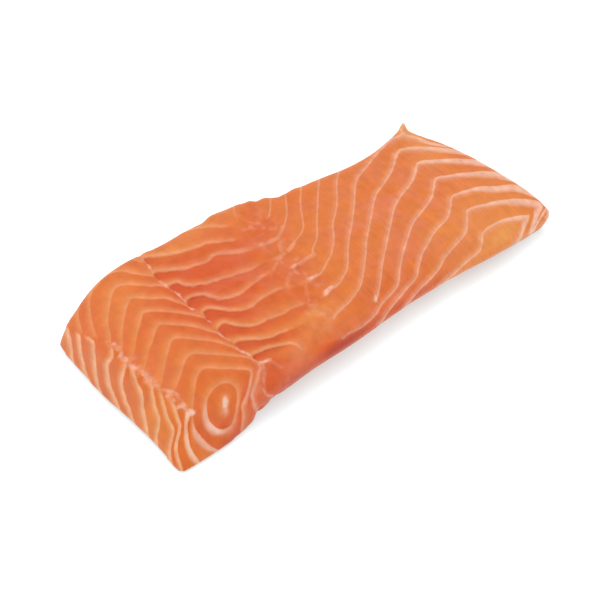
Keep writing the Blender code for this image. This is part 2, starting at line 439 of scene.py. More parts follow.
BELLY_LINES = LineRun(
    Muscle.BELLY,
    LineStyle(width=2.2, strength=0.43, haze=0.34, ragged=1.2, tone=0.15),
    (
        FatLine(((516, 250), (519, 242), (523.5, 233), (529, 217), (526, 215.5), (515.6, 216.5),
            (499, 221), (487.4, 227.7), (482.4, 233.5), (481.6, 242.7), (479, 251), (469, 259.3),
            (459, 269), (449.3, 277.5), (440, 288))),
        FatLine(((531, 243), (532, 237), (534, 228), (539, 215), (543, 206), (537, 201.2), (520.6, 198.7),
            (499, 200.4), (482.4, 204.5), (467.5, 209.5), (466.7, 219.5), (465, 232.7), (452.6, 247.6),
            (444.3, 257.6), (439.3, 267.5), (429.4, 279.2), (417.7, 290.8), (406, 306))),
        FatLine(((534, 232), (537.5, 224), (545, 212), (550, 206), (540, 198), (528, 190), (520.6, 186.5),
            (510.6, 184.6), (495.7, 186.3), (479, 187), (462.5, 191.3), (451.7, 196.2), (450, 206.2),
            (446.8, 217.8), (436, 229.4), (427.7, 242.7), (421, 256), (417.7, 269.2), (416, 277.5),
            (406, 289), (397.8, 299), (389.5, 309), (380, 324))),
        FatLine(((520, 182), (505, 175), (499, 172.2), (482.4, 171.4), (462.5, 173), (446, 175.5),
            (435.2, 178), (433.5, 186.3), (431, 197.9), (422.7, 209.5), (412.8, 222.8), (407.8, 236),
            (402.8, 252.6), (399.5, 269.2), (397.8, 284), (390.4, 294.4), (382, 303), (375.7, 313.4),
            (365, 324), (354.6, 330.3), (340, 337), (321, 344), (307, 350)), fade_end=60),
        FatLine(((500, 166), (484, 161.4), (465.8, 159), (446, 159), (431, 159.8), (419.4, 161.4),
            (416, 164.7), (414.4, 173), (410.3, 183), (401, 194.6), (394.5, 206.2), (390.4, 222.8),
            (386.2, 242.7), (382, 262.6), (380, 280), (377.8, 293), (375.6, 299))),
        FatLine(((470, 152), (454.2, 149), (437.6, 147.3), (422.7, 146.5), (407.8, 147.3), (398.7, 149.8),
            (394.5, 158), (392, 168), (384.6, 181.3), (376.3, 193), (373, 202.9), (370.5, 217.8),
            (366.3, 239.4), (364.7, 259.3), (361.9, 278.4), (358.3, 288.6), (348.9, 301.6), (340.2, 308.8),
            (334.4, 317.4), (331, 322)), fade_end=14),
        FatLine(((450, 146), (437.6, 144), (426, 140.7), (412.8, 135.7), (397.8, 135.7), (386, 143),
            (376.3, 153), (366.3, 166.4), (358, 176.3), (354.7, 186.3), (353.9, 202.9), (351.4, 222.8),
            (348, 242.7), (347.3, 259.3), (346.7, 268.3), (341.7, 278.4), (338, 284), (325, 295))),
        FatLine(((341, 158), (338, 173), (336.2, 182.6), (336.2, 205.5), (332.4, 224.6), (333.4, 239.4),
            (331.6, 249.6), (330, 256), (325.8, 262.6), (320.7, 272.7), (309, 280.5))),
        FatLine(((320, 165), (318.4, 181.3), (317, 205.5), (316.4, 225), (316.4, 238), (312.8, 246.7),
            (311.3, 253.9), (302.7, 259.7), (292, 266.5))),
        FatLine(((301, 172), (300.5, 187.7), (299.9, 205.5), (303, 224.6), (301, 232), (293.3, 242.3),
            (288, 251)), fade_end=8),
        FatLine(((284, 180), (285.2, 197.9), (286.5, 211.9), (283.3, 227), (278, 235), (272, 241),
            (263, 241.5)), fade_end=18),
        FatLine(((269, 184), (270, 200), (269, 215), (264, 219.5)), fade_end=8),
        FatLine(((232, 198), (233.3, 210), (237, 223)), fade_end=8),
    ),
    usual_gap=15,
)

# The flakes between the seam and the trough, whose lines are their lifted lower edges
FLAKE_LINES = LineRun(
    Muscle.FLAKES,
    LineStyle(width=4.2, strength=0.32, haze=0.33, ragged=3.4, tone=1, lean=-1),
    (
        FatLine(((250, 356.1), (262, 350.6), (272, 347.1), (289, 344.6), (298, 347.6), (301, 353.6)),
            fade_end=8),
        FatLine(((233, 342.6), (240, 340.1), (250, 339.6), (268, 338.3), (281, 333), (297, 326.6)),
            fade_end=16),
        FatLine(((218, 327.6), (223, 322.6), (230, 323.6), (242.7, 326.6), (257.4, 324.5), (268, 319.3),
            (280.7, 315), (293.3, 307.6), (308, 302.4)), fade_end=8),
        FatLine(((201.5, 312.6), (208.5, 308.1), (221, 309.6), (230, 310.6), (240.6, 310.1), (253, 306.6),
            (261, 298.6), (278, 290.1), (292, 285.6)), fade_end=16),
        FatLine(((186, 299.6), (196, 295.6), (205, 295.3), (219, 298.6), (231, 297.6), (240.6, 293.9),
            (251, 285.6), (259.6, 279.2), (275, 269.6)), fade_end=16),
        FatLine(((161, 286.1), (169, 284.6), (176.5, 282.1), (183, 284.6), (191, 285.6), (205, 283.6),
            (221, 279.3), (235, 274.6), (249, 270.6), (263, 263.6)), fade_end=12),
        FatLine(((152, 272.1), (166.7, 270.6), (183, 269.1), (198, 264.9), (208, 261.6), (213, 256.1),
            (222, 254.1), (236.7, 253.6), (248.3, 250.8), (257, 247.6)), fade_end=18),
        FatLine(((143, 257.6), (160, 255.8), (175, 253.3), (192, 249.1), (205, 244.1), (217, 242.4),
            (237, 240.1)), fade_end=4),
        FatLine(((150, 244.6), (175, 234.6), (198, 227.6), (222, 227.1), (231, 225.6)),
            fade_start=30, fade_end=8),
        FatLine(((180, 221.6), (205, 214.6), (229, 212.6)), fade_start=16, fade_end=10),
    ),
    usual_gap=14,
)


@dataclass(frozen=True)
class Spot:
    """A patch of the picture plane where something holds, fading out round it."""

    centre: tuple[float, float]
    reach: tuple[float, float]
    amount: float
    turn: float = 0

    def share(self, spots: np.ndarray) -> np.ndarray:
        """Finds how strongly the patch holds.

        Args:
            spots: Picture coordinates, one row each.

        Returns:
            The patch's amount at its centre, fading to 0, one per spot.
        """
        offset = spots - np.array(self.centre)
        cos, sin = math.cos(self.turn), math.sin(self.turn)
        along = (offset[:, 0] * cos + offset[:, 1] * sin) / self.reach[0]
        across = (offset[:, 1] * cos - offset[:, 0] * sin) / self.reach[1]
        return self.amount * np.exp(-(along**2) - across**2)


def total(patches: tuple[Spot, ...], spots: np.ndarray) -> np.ndarray:
    """Adds up what several patches give at spots of the picture."""
    return sum((patch.share(spots) for patch in patches), np.zeros(len(spots)))


TILT = math.radians(-35)

# Where the lines are broader, in picture units
BROAD_LINES = (
    Spot((504, 186), (58, 26), 7, math.radians(35)),
    Spot((534, 214), (22, 26), 3),
    Spot((432, 152), (40, 22), 3),
    Spot((208, 421), (12, 15), 4.6),
    Spot((206, 441), (20, 15), 6.5),
    Spot((113, 372), (10, 26), 0.8),
    Spot((230, 250), (26, 7), 2),
    Spot((250, 398), (9, 26), 1.6),
    Spot((192, 456), (7, 13), 3),
)

# Where the lines are lost in torn or smeared flesh
LOST_LINES = (
    Spot((138, 352), (26, 16), 0.75, -TILT),
    Spot((162, 384), (18, 10), 0.60, -TILT),
    Spot((240, 200), (20, 12), 0.40),
    Spot((334, 338), (24, 9), 0.80, TILT),
)

# Where the flesh is redder; in the torn trough's hollow and along the undercut foot of the front side this
# is partly painted shade
RED_PATCHES = (
    Spot((262, 232), (24, 18), 0.50),
    Spot((225, 270), (58, 34), 0.60, TILT / 2),
    Spot((206, 300), (44, 34), 0.50),
    # (292, 284) and (309, 299): redder in the trough's hollow, partly painted shade
    Spot((292, 284), (24, 18), 0.40),
    Spot((309, 299), (11, 8), 0.60),
    # (300, 366) and (375, 322): redder strips along the undercut foot of the front side, partly painted
    # shade
    Spot((300, 366), (46, 8), 0.40, TILT),
    Spot((258, 402), (6, 8), 1.10),
    Spot((277, 389), (12, 9), 0.35),
    Spot((375, 322), (60, 7), 0.50, TILT),
    Spot((234, 430), (20, 18), 0.50),
    Spot((199, 448), (8, 17), 0.60),
    Spot((248, 404), (8, 30), 0.40),
)

# Where the flesh is darkened toward dark red, partly blood and partly painted shade: the undercut foot of
# the front side, and under the flakes' ends
BLOOD_AND_SHADE_PATCHES = (
    Spot((342, 346), (34, 6.5), 1.00, math.radians(-36)),
    Spot((300, 378), (20, 4), 0.40, math.radians(-40)),
    Spot((290, 384), (20, 6), 0.35, math.radians(-40)),
    Spot((266, 405), (16, 5), 0.45, TILT),
    Spot((236, 436), (26, 5), 0.45, TILT),
    Spot((410, 300), (44, 4), 0.35, TILT),
)

# Where the flesh is paler and yellower
PALE_PATCHES = (
    Spot((480, 226), (60, 36), 0.50, TILT),
    Spot((403, 130), (8, 8), 0.90),
    Spot((420, 142), (28, 10), 0.60, -TILT),
    Spot((420, 166), (22, 14), 0.22),
    Spot((470, 262), (34, 8), 0.35, TILT),
    Spot((313, 313), (18, 5), 0.50, TILT),
    Spot((506, 234), (18, 10), 0.70, TILT),
    Spot((550, 214), (7, 16), 0.30),
    Spot((320, 324), (34, 11), 0.40, TILT),
    Spot((296, 352), (16, 8), 0.35),
    Spot((115, 295), (34, 26), 0.20),
    Spot((185, 236), (45, 12), 0.35, TILT),
    Spot((158, 424), (22, 32), 0.34),
)

# Where a pinkish film lies over the flesh
FILM_PATCHES = (
    Spot((265, 262), (58, 42), 0.30, TILT),
    Spot((300, 362), (44, 14), 0.60, TILT),
    Spot((262, 382), (16, 18), 0.60),
    Spot((235, 420), (18, 22), 0.40),
    Spot((214, 440), (15, 9), 0.75, TILT),
    Spot((380, 312), (50, 12), 0.40, TILT),
    Spot((400, 215), (60, 62), 0.60),
    Spot((150, 370), (50, 12), 0.15, -TILT),
)

# Where the flesh is torn or lumpy, with pale flecks
TORN_PATCHES = (
    Spot((278, 250), (30, 16), 0.90, -TILT),
    Spot((305, 285), (26, 16), 0.90, -TILT),
    Spot((318, 318), (22, 16), 0.70),
    Spot((250, 222), (26, 14), 0.60),
    Spot((252, 385), (10, 34), 0.50),
    Spot((280, 378), (16, 12), 0.50),
    Spot((142, 374), (44, 9), 1.00, math.radians(41)),
)

# White tissue: the knots, the torn blobs, the eye of the rings and the nose of the thin end
TISSUE_PATCHES = (
    Spot((294, 266.5), (5, 3.6), 0.55, TILT),
    Spot((309.5, 278.5), (4, 3), 0.50, TILT),
    Spot((316.5, 275), (6, 2.8), 0.38, TILT),
    Spot((325.5, 293), (3.6, 3.8), 0.75, TILT),
    Spot((332.5, 288), (6.5, 3), 0.62, TILT),
    Spot((320, 314), (5.5, 2.8), 0.32, TILT),
    Spot((269, 316.5), (3.5, 2.4), 0.30, TILT),
    Spot((258, 263), (2.6, 2.2), 0.30),
    Spot((376.3, 298.5), (2.4, 5), 1.00),
    Spot((349, 333), (6, 1.5), 0.65, TILT),
    Spot((265, 361), (6, 1.5), 0.80, TILT / 2),
    Spot((191, 411.5), (4.5, 5), 0.95),
    Spot((187.5, 418), (2.2, 6), 0.90),
    Spot((225.5, 404.5), (3.4, 9.5), 0.85),
    Spot((403, 129), (5, 6), 0.70),
    Spot((549, 213), (3.6, 12), 0.85, math.radians(15)),
)

# Lumps and hollows, in millimetres: the torn trough and its blobs, and the folds of the front edge
FORMS = (
    Spot((300, 272), (16, 26), -0.45, TILT),
    Spot((293, 266), (5, 4), 0.60, TILT),
    Spot((314, 277), (9, 4), 0.45, TILT),
    Spot((329, 291), (8, 4.5), 0.80, TILT),
    Spot((305, 292), (8, 6), -0.50),
    Spot((272, 246), (9, 7), -0.40),
    Spot((285, 252), (6, 5), 0.35),
    Spot((297, 350), (13, 7), 0.50, TILT),
    Spot((320, 326), (30, 9), 0.35, TILT),
    Spot((192, 228), (12, 6), -0.30, TILT),
    Spot((237, 205), (9, 6), 0.35),
    Spot((201, 223), (5, 5), -0.35),
    Spot((211, 215), (8, 5), 0.45),
    Spot((249, 202), (4, 4), 0.35),
    Spot((256.5, 204), (2.8, 4), -0.50),
    Spot((265, 200.5), (5, 4), 0.40),
    Spot((278, 198), (5, 5), -0.45),
    Spot((293, 189), (7, 5), 0.45),
    Spot((265, 380), (1.8, 14), -0.55),
    Spot((253.5, 392), (1.8, 18), -0.45),
    Spot((189.2, 427), (2, 10), -0.60),
)


@dataclass(frozen=True)
class Thread:
    """A short thread of fat in the torn flesh, with its breadth in picture units."""

    points: Points
    width: float
    amount: float


THREADS = (
    Thread(((294, 243), (290, 248.6), (286, 252.6), (280, 255)), 2.8, 0.36),
    Thread(((254.5, 228.8), (259, 227.5), (264, 227.8)), 2.2, 0.25),
    Thread(((158, 388), (166, 391), (173, 392.5), (179, 397), (184, 405)), 2.6, 0.55),
    Thread(((176, 409), (180, 407), (185, 409), (190, 410)), 2.2, 0.50),
    Thread(((283, 227), (278, 237), (267, 242), (260, 245)), 2.8, 0.34),
    Thread(((277, 263), (273.4, 269.2), (271.5, 274.5)), 2.6, 0.20),
    Thread(((291, 273), (288, 278), (287, 284)), 3.2, 0.18),
    Thread(((303, 270.5), (307.5, 277), (306.5, 287), (309, 300)), 2.2, 0.14),
    Thread(((314, 254), (306, 259), (300, 263)), 3.2, 0.28),
    Thread(((343, 308), (337, 312.5), (333, 318)), 2.4, 0.35),
    Thread(((343, 338), (347, 334.5), (352, 331)), 2, 0.60),
    Thread(((259.5, 363.5), (264, 361.5), (270, 359.5)), 2.8, 0.45),
    Thread(((271, 361), (276, 364), (282, 367.5)), 2.4, 0.16),
    Thread(((262.5, 363), (264.6, 371), (264.4, 381), (265, 390), (268, 395), (273, 397)), 2.4, 0.34),
    Thread(((262, 366), (257.5, 375), (254, 386), (251.5, 396), (253, 404), (256.5, 411.5)), 2.2, 0.34),
)

TIP = Spot((403, 128), (3.6, 7), 2.60)


@dataclass(frozen=True)
class Nick:
    """A nick, or a bulge where the depth is below 0, in the foot of the front side, in metres."""

    spot: tuple[float, float]
    reach: float
    depth: float


NICKS = (
    Nick((270, 407), 0.0050, 0.0009),
    Nick((260, 416), 0.0016, 0.0016),
    Nick((277.5, 400.5), 0.0015, 0.0018),
    Nick((345, 348), 0.0012, 0.0005),
)


class NodeWriter:
    """Short ways to write nodes into a shader or geometry tree."""

    def __init__(self, tree: bpy.types.NodeTree) -> None:
        """Keeps the tree."""
        self.tree = tree

    def add(self, kind: str) -> bpy.types.Node:
        """Adds a node of a kind."""
        return self.tree.nodes.new(kind)

    def feed(self, value: Value, target: Socket) -> None:
        """Feeds a socket from another socket, or sets it to a number or colour.

        Args:
            value: Output socket, number or colour.
            target: Input socket.
        """
        if isinstance(value, Socket):
            self.tree.links.new(value, target)
        else:
            target.default_value = value

    def math(self, operation: str, *values: Value) -> Socket:
        """Adds a math node.

        Args:
            operation: Blender's name of the operation.
            values: The values that it takes, in order.

        Returns:
            The result's socket.
        """
        node = self.add("ShaderNodeMath")
        node.operation = operation
        for value, socket in zip(values, node.inputs):
            self.feed(value, socket)
        return node.outputs[0]

    def times(self, *values: Value) -> Socket:
        """Multiplies values."""
        return functools.reduce(functools.partial(self.math, "MULTIPLY"), values)

    def plus(self, *values: Value) -> Socket:
        """Adds values up."""
        return functools.reduce(functools.partial(self.math, "ADD"), values)

    def minus(self, first: Value, second: Value) -> Socket:
        """Takes the second value from the first."""
        return self.math("SUBTRACT", first, second)

    def most(self, first: Value, second: Value) -> Socket:
        """Gives the greater of two values."""
        return self.math("MAXIMUM", first, second)

    def rising(self, value: Value, span: Span) -> Socket:
        """Eases from 0 at the span's start to 1 at its end.

        Args:
            value: Value to ease.
            span: Where it starts and ends.

        Returns:
            The eased value's socket.
        """
        node = self.add("ShaderNodeMapRange")
        node.interpolation_type = "SMOOTHSTEP"
        for given, name in zip((value, *span), ("Value", "From Min", "From Max")):
            self.feed(given, node.inputs[name])
        return node.outputs["Result"]

    def falling(self, value: Value, span: Span) -> Socket:
        """Eases from 1 at the span's start to 0 at its end."""
        return self.minus(1.0, self.rising(value, span))

    def noise(self, place: Value, scale: Value, detail: float = 2.0, seed: Value | None = None) -> Socket:
        """Adds cloudy noise about 0.

        Args:
            place: Socket of the place to read it at, or None for the point's own.
            scale: How fine it is, per metre.
            detail: How many finer layers it has.
            seed: Where given, what picks one pattern of many.

        Returns:
            The noise's socket.
        """
        node = self.add("ShaderNodeTexNoise")
        if place is not None:
            self.feed(place, node.inputs["Vector"])
        if seed is not None:
            node.noise_dimensions = "4D"
            self.feed(seed, node.inputs["W"])
        self.feed(scale, node.inputs["Scale"])
        self.feed(detail, node.inputs["Detail"])
        return self.minus(node.outputs["Fac"], 0.5)

    def mix(self, share: Value, first: Value, second: Value, blend: str = "MIX") -> Socket:
        """Mixes two colours.

        Args:
            share: Share of the second, held between 0 and 1.
            first: First colour.
            second: Second colour.
            blend: Blender's name of the way they mix.

        Returns:
            The mixed colour's socket.
        """
        node = self.add("ShaderNodeMix")
        node.data_type = "RGBA"
        node.blend_type = blend
        for value, index in ((share, 0), (first, 6), (second, 7)):
            self.feed(value, node.inputs[index])
        return node.outputs[2]

    def on_points(self, name: str) -> Socket:
        """Reads in a shader a number stored on the piece's points.

        Args:
            name: Name that it is stored under.

        Returns:
            The number's socket.
        """
        node = self.add("ShaderNodeAttribute")
        node.attribute_name = name
        return node.outputs["Fac"]

    def stored(self, name: str) -> Socket:
        """Reads in a geometry tree a number stored on the piece's points.

        Args:
            name: Name that it is stored under.

        Returns:
            The number's socket.
        """
        node = self.add("GeometryNodeInputNamedAttribute")
        node.data_type = "FLOAT"
        node.inputs["Name"].default_value = name
        return node.outputs["Attribute"]


@dataclass(frozen=True)
class FleshFinish:
    """Moist raw flesh with fat lines.

    The scales are per metre, and the spans give where a share starts to change and where it ends.
    """

    name: str = "salmon_flesh"
    flesh: Colour = (0.66, 0.172, 0.034, 1.0)
    deep: Colour = (0.61, 0.092, 0.018, 1.0)
    # Dark red for blood, and for the painted shade at the foot of the front side and in the pockets by the
    # seam
    blood: Colour = (0.42, 0.055, 0.030, 1.0)
    pale: Colour = (0.74, 0.290, 0.075, 1.0)
    film: Colour = (0.66, 0.180, 0.090, 1.0)
    fat: Colour = (0.80, 0.470, 0.340, 1.0)
    white_fat: Colour = (0.80, 0.520, 0.430, 1.0)
    tissue: Colour = (0.82, 0.480, 0.370, 1.0)
    cut_tint: Colour = (1.0, 0.98, 0.82, 1.0)
    roughness: float = 0.42
    specular: float = 0.17
    translucency: float = 0.10
    scatter: tuple[float, float, float] = (1.0, 0.35, 0.15)
    scatter_depth: float = 0.0018
    blood_scale: float = 70.0
    film_scale: float = 150.0
    mottle_scale: float = 340.0
    ragged_scale: float = 420.0
    fleck_scale: float = 260.0
    grain_scale: float = 2600.0
    fibres: tuple[float, float, float] = (2600.0, 110.0, 500.0)
    core_span: Span = (0.25, 1.0)
    haze_span: Span = (0.0, 8.0)
    behind_span: Span = (0.0, 6.0)
    edge_span: Span = (-0.9, 0.1)
    pocket_top: Span = (0.02, 0.10)
    pocket_foot: Span = (0.30, 0.85)
    lip_span: Span = (0.55, 0.97)
    film_cloud: Span = (-0.15, 0.15)
    thread_cloud: Span = (-0.3, 0.1)
    fleck_cloud: Span = (0.0, 0.22)
    tissue_cloud: Span = (0.20, 0.95)
    tissue_edge: Span = (0.02, 0.6)
    patchiness: float = 0.7
    cloud_redness: float = 0.9
    # The pockets under the lines: redder, partly deeper flesh and partly painted shade, with more painted
    # shade by the seam; the lips paler with painted light
    pocket_redness: float = 0.9
    pocket_shade: float = 0.12
    lip_light: float = 0.35
    fleck_cover: float = 0.32
    tissue_lumpiness: float = 1.7
    mottle_shade: float = 0.34
    fibre_shade: float = 0.26
    mottle_gloss: float = 0.25
    bump_strength: float = 0.4
    bump_height: float = 0.0003
    bump_grain: float = 0.4
    bump_fibre: float = 0.8

    def _line_cover(self, tree: NodeWriter, place: Socket, phase: Socket) -> Socket:
        """Works out how much the fat lines cover, with their haze on one side and thin on the other.

        Args:
            tree: The tree to write into.
            place: Socket of the place.
            phase: Socket of the place's share of the gap, from the nearest line.

        Returns:
            The cover's socket.
        """
        read = tree.on_points
        ragged = tree.times(tree.noise(place, self.ragged_scale), read("line_ragged"))
        offset = tree.plus(tree.times(phase, -1.0, read("line_gap"), read("line_lean")), ragged)
        core = tree.falling(tree.math("DIVIDE", offset, read("line_width")), self.core_span)
        haze = tree.times(tree.falling(offset, self.haze_span), read("line_haze"))
        cover = tree.times(tree.most(core, haze), tree.rising(offset, self.edge_span))
        above = tree.times(offset, -1.0)
        behind = tree.times(tree.falling(above, self.behind_span), tree.rising(above, self.edge_span))
        cover = tree.most(cover, tree.times(behind, read("line_behind")))
        patchy = tree.plus(tree.times(tree.noise(place, self.mottle_scale, 1.0), self.patchiness), 1.0)
        return tree.times(cover, read("line_strength"), patchy)

    def _flesh_colour(self, tree: NodeWriter, place: Socket, phase: Socket) -> Socket:
        """Colours the flesh: redder in the pockets under the lines, partly deeper flesh and partly painted
        shade, with more painted shade by the seam, and paler up to the next line, where the lip gets
        painted light.

        Args:
            tree: The tree to write into.
            place: Socket of the place.
            phase: Socket of the place's share of the gap, from the nearest line.

        Returns:
            The colour's socket.
        """
        read = tree.on_points
        below = tree.math("FRACT", tree.times(phase, -1.0))
        # The pocket under each line is redder: partly deeper flesh, partly painted shade; by the seam it
        # also gets painted shade toward dark red
        pocket = tree.times(tree.rising(below, self.pocket_top), tree.falling(below, self.pocket_foot))
        pocket = tree.times(pocket, read("line_tone"))
        deep = tree.times(pocket, read("near_seam"))
        clouds = tree.times(tree.noise(place, self.blood_scale, 3.0), self.cloud_redness)
        redness = tree.plus(clouds, tree.times(pocket, self.pocket_redness), read("redness"))
        # The lip before the next line is paler: painted light
        lip = tree.times(tree.rising(below, self.lip_span), read("line_tone"), self.lip_light)
        film = tree.rising(tree.noise(place, self.film_scale, 4.0), self.film_cloud)
        film = tree.times(film, read("film"), tree.minus(1.0, deep))
        colour = tree.mix(redness, self.flesh, self.deep)
        colour = tree.mix(tree.plus(lip, read("paleness")), colour, self.pale)
        colour = tree.mix(film, colour, self.film)
        # Darkens toward dark red: blood and painted shade at the foot of the front side, and painted shade
        # in the pockets by the seam
        return tree.mix(tree.plus(tree.times(deep, self.pocket_shade), read("blood")), colour, self.blood)

    def _fat_over(self, tree: NodeWriter, place: Socket, cover: Socket, colour: Socket) -> Socket:
        """Lays the fat lines, pale flecks, threads and white tissue over the flesh.

        Args:
            tree: The tree to write into.
            place: Socket of the place.
            cover: Socket of how much the fat lines cover.
            colour: The flesh's colour.

        Returns:
            The colour's socket.
        """
        read = tree.on_points
        flecks = tree.rising(tree.noise(place, self.fleck_scale, 4.0), self.fleck_cloud)
        flecks = tree.times(flecks, read("torn"), self.fleck_cover)
        threads = tree.rising(tree.noise(place, self.ragged_scale), self.thread_cloud)
        threads = tree.times(threads, read("threads"))
        cover = tree.most(tree.most(cover, flecks), threads)
        colour = tree.mix(cover, colour, tree.mix(read("line_white"), self.fat, self.white_fat))
        lumps = tree.times(tree.noise(place, self.ragged_scale, 3.0), self.tissue_lumpiness)
        tissue = tree.rising(tree.plus(lumps, read("tissue")), self.tissue_cloud)
        tissue = tree.times(tissue, tree.rising(read("tissue"), self.tissue_edge))
        colour = tree.mix(tissue, colour, self.tissue)
        return tree.mix(read("cut"), colour, self.cut_tint, "MULTIPLY")

    def _streaks(self, tree: NodeWriter, place: Socket) -> Socket:
        """Adds the fine streaks of the muscle fibres, which run across the portion.

        Args:
            tree: The tree to write into.
            place: Socket of the place.

        Returns:
            The streaks' socket, about 0.
        """
        stretch = tree.add("ShaderNodeVectorMath")
        stretch.operation = "MULTIPLY"
        stretch.inputs[1].default_value = self.fibres
        tree.feed(place, stretch.inputs[0])
        return tree.times(tree.noise(stretch.outputs[0], 1.0, 1.0), tree.on_points("fibre_share"))

    def build(self) -> bpy.types.Material:
        """Builds the flesh's material.

        Returns:
            The material.
        """
        material = bpy.data.materials.new(self.name)
        material.use_nodes = True
        tree = NodeWriter(material.node_tree)
        surface = material.node_tree.nodes["Principled BSDF"].inputs
        surface["Specular IOR Level"].default_value = self.specular
        surface["Subsurface Weight"].default_value = self.translucency
        surface["Subsurface Radius"].default_value = self.scatter
        surface["Subsurface Scale"].default_value = self.scatter_depth
        place = tree.add("ShaderNodeTexCoord").outputs["Object"]
        turn = tree.math("ARCTAN2", tree.on_points("line_sin"), tree.on_points("line_cos"))
        phase = tree.math("DIVIDE", turn, 2 * math.pi)
        colour = self._flesh_colour(tree, place, phase)
        colour = self._fat_over(tree, place, self._line_cover(tree, place, phase), colour)

        streaks = self._streaks(tree, place)
        mottle = tree.noise(place, self.mottle_scale, 4.0)
        shade = tree.plus(tree.times(mottle, self.mottle_shade), tree.times(streaks, self.fibre_shade), 1.0)
        tint = tree.add("ShaderNodeHueSaturation")
        tree.feed(shade, tint.inputs["Value"])
        tree.feed(colour, tint.inputs["Color"])
        tree.feed(tint.outputs[0], surface["Base Color"])
        tree.feed(tree.plus(tree.times(mottle, self.mottle_gloss), self.roughness), surface["Roughness"])
        grain = tree.times(tree.noise(place, self.grain_scale), self.bump_grain)
        bump = tree.add("ShaderNodeBump")
        bump.inputs["Strength"].default_value = self.bump_strength
        bump.inputs["Distance"].default_value = self.bump_height
        height = tree.plus(grain, tree.times(tree.plus(streaks, mottle), self.bump_fibre))
        tree.feed(height, bump.inputs["Height"])
        tree.feed(bump.outputs["Normal"], surface["Normal"])
        return material


@dataclass(frozen=True)
class FleshRelief:
    """The Geometry Nodes tree that lays the fat lines' grooves and the flesh's grain on the piece."""

    groove_depth: float = 0.00012
    groove_reach: float = 1.8
    swell_height: float = 0.00030
    swell_scale: float = 130.0
    lump_height: float = 0.00055
    lump_scale: float = 380.0
    grain_height: float = 0.00008
    grain_scale: float = 900.0
    seed: float = 7.0

    def values(self) -> dict[str, float]:
        """The tree's named inputs and their values."""
        return {name.replace("_", " ").title(): value for name, value in asdict(self).items()}

    def build(self, material: bpy.types.Material) -> bpy.types.NodeTree:
        """Builds the tree.

        Args:
            material: The finish that the piece gets.

        Returns:
            The tree.
        """
        tree = bpy.data.node_groups.new("flesh_relief", "GeometryNodeTree")
        face = tree.interface
        face.new_socket("Geometry", in_out="INPUT", socket_type="NodeSocketGeometry")
        for name, value in self.values().items():
            face.new_socket(name, in_out="INPUT", socket_type="NodeSocketFloat").default_value = value
        face.new_socket("Geometry", in_out="OUTPUT", socket_type="NodeSocketGeometry")
        write = NodeWriter(tree)
        given = write.add("NodeGroupInput").outputs
        turn = write.math("ARCTAN2", write.stored("line_sin"), write.stored("line_cos"))
        offset = write.times(turn, 1 / (2 * math.pi), write.stored("line_gap"))
        reach = write.times(write.stored("line_width"), given["Groove Reach"])
        ratio = write.math("DIVIDE", offset, reach)
        hollow = write.math("EXPONENT", write.times(ratio, ratio, -1.0))
        groove = write.times(hollow, write.stored("line_strength"), given["Groove Depth"])
        swell, lumps, grain = (
            write.times(
                write.noise(None, given[f"{kind} Scale"], seed=given["Seed"]),
                given[f"{kind} Height"],
            )
            for kind in ("Swell", "Lump", "Grain")
        )
        rise = write.minus(write.plus(swell, write.times(lumps, write.stored("torn")), grain), groove)
        scaled = write.add("ShaderNodeVectorMath")
        scaled.operation = "SCALE"
        write.feed(write.add("GeometryNodeInputNormal").outputs[0], scaled.inputs[0])
        write.feed(write.times(rise, write.stored("relief_share")), scaled.inputs["Scale"])
        moved = write.add("GeometryNodeSetPosition")
        write.feed(given["Geometry"], moved.inputs["Geometry"])
        write.feed(scaled.outputs[0], moved.inputs["Offset"])
        real = write.add("GeometryNodeRealizeInstances")
        write.feed(moved.outputs["Geometry"], real.inputs["Geometry"])
        dressed = write.add("GeometryNodeSetMaterial")
        dressed.inputs["Material"].default_value = material
        write.feed(real.outputs["Geometry"], dressed.inputs["Geometry"])
        write.feed(dressed.outputs["Geometry"], write.add("NodeGroupOutput").inputs[0])
        return tree

    def apply(self, piece: bpy.types.Object, material: bpy.types.Material) -> bpy.types.Mesh:
        """Lays the relief on a piece.

        Args:
            piece: The piece, without modifiers.
            material: The finish that it gets.

        Returns:
            The finished plain mesh.
        """
        tree = self.build(material)
        modifier = piece.modifiers.new("relief", "NODES")
        modifier.node_group = tree
        wanted = self.values()
        for item in tree.interface.items_tree:
            if item.item_type == "SOCKET" and item.in_out == "INPUT" and item.name in wanted:
                modifier[item.identifier] = wanted[item.name]
        return baked(piece)


def baked(piece: bpy.types.Object) -> bpy.types.Mesh:
    """Gives the mesh that a piece's modifiers make, and removes them.

    Args:
        piece: The piece.

    Returns:
        The mesh.
    """
    bpy.context.view_layer.update()
    evaluated = piece.evaluated_get(bpy.context.evaluated_depsgraph_get())
    mesh = bpy.data.meshes.new_from_object(evaluated)
    piece.modifiers.clear()
    return mesh


